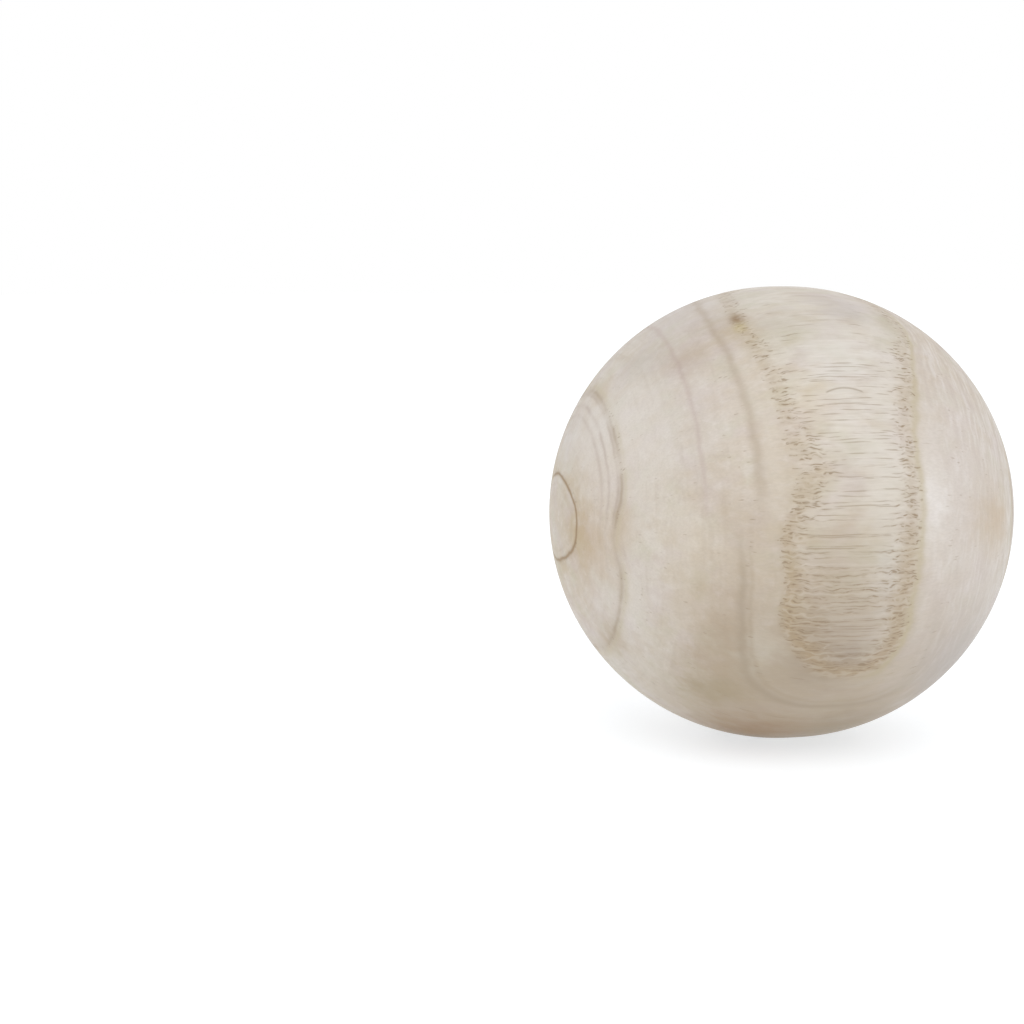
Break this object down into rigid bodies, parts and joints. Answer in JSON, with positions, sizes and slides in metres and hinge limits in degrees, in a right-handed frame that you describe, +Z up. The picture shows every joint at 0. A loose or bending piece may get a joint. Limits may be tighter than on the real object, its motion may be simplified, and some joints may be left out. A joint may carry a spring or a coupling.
{
  "type": "wooden ball",
  "caption": "Solid turned wooden ball with its growth rings circling a level grain axis, lying loose on a surface as an ornament, weight or prop.",
  "frame": {"origin": "the middle of the ball", "axes": "+X along the grain and the lathe axis, from one end-grain pole to the other; +Z up, with the grain lying level as in the picture; +Y across the grain, away from the viewer"},
  "size_m": [0.1016, 0.0994, 0.0994],
  "materials": {
    "wood": "bare pale wood, sanded smooth, matt, with open pores and no varnish"
  },
  "bodies": {
    "root": {"ball": "wood"}
  },
  "joints": []
}
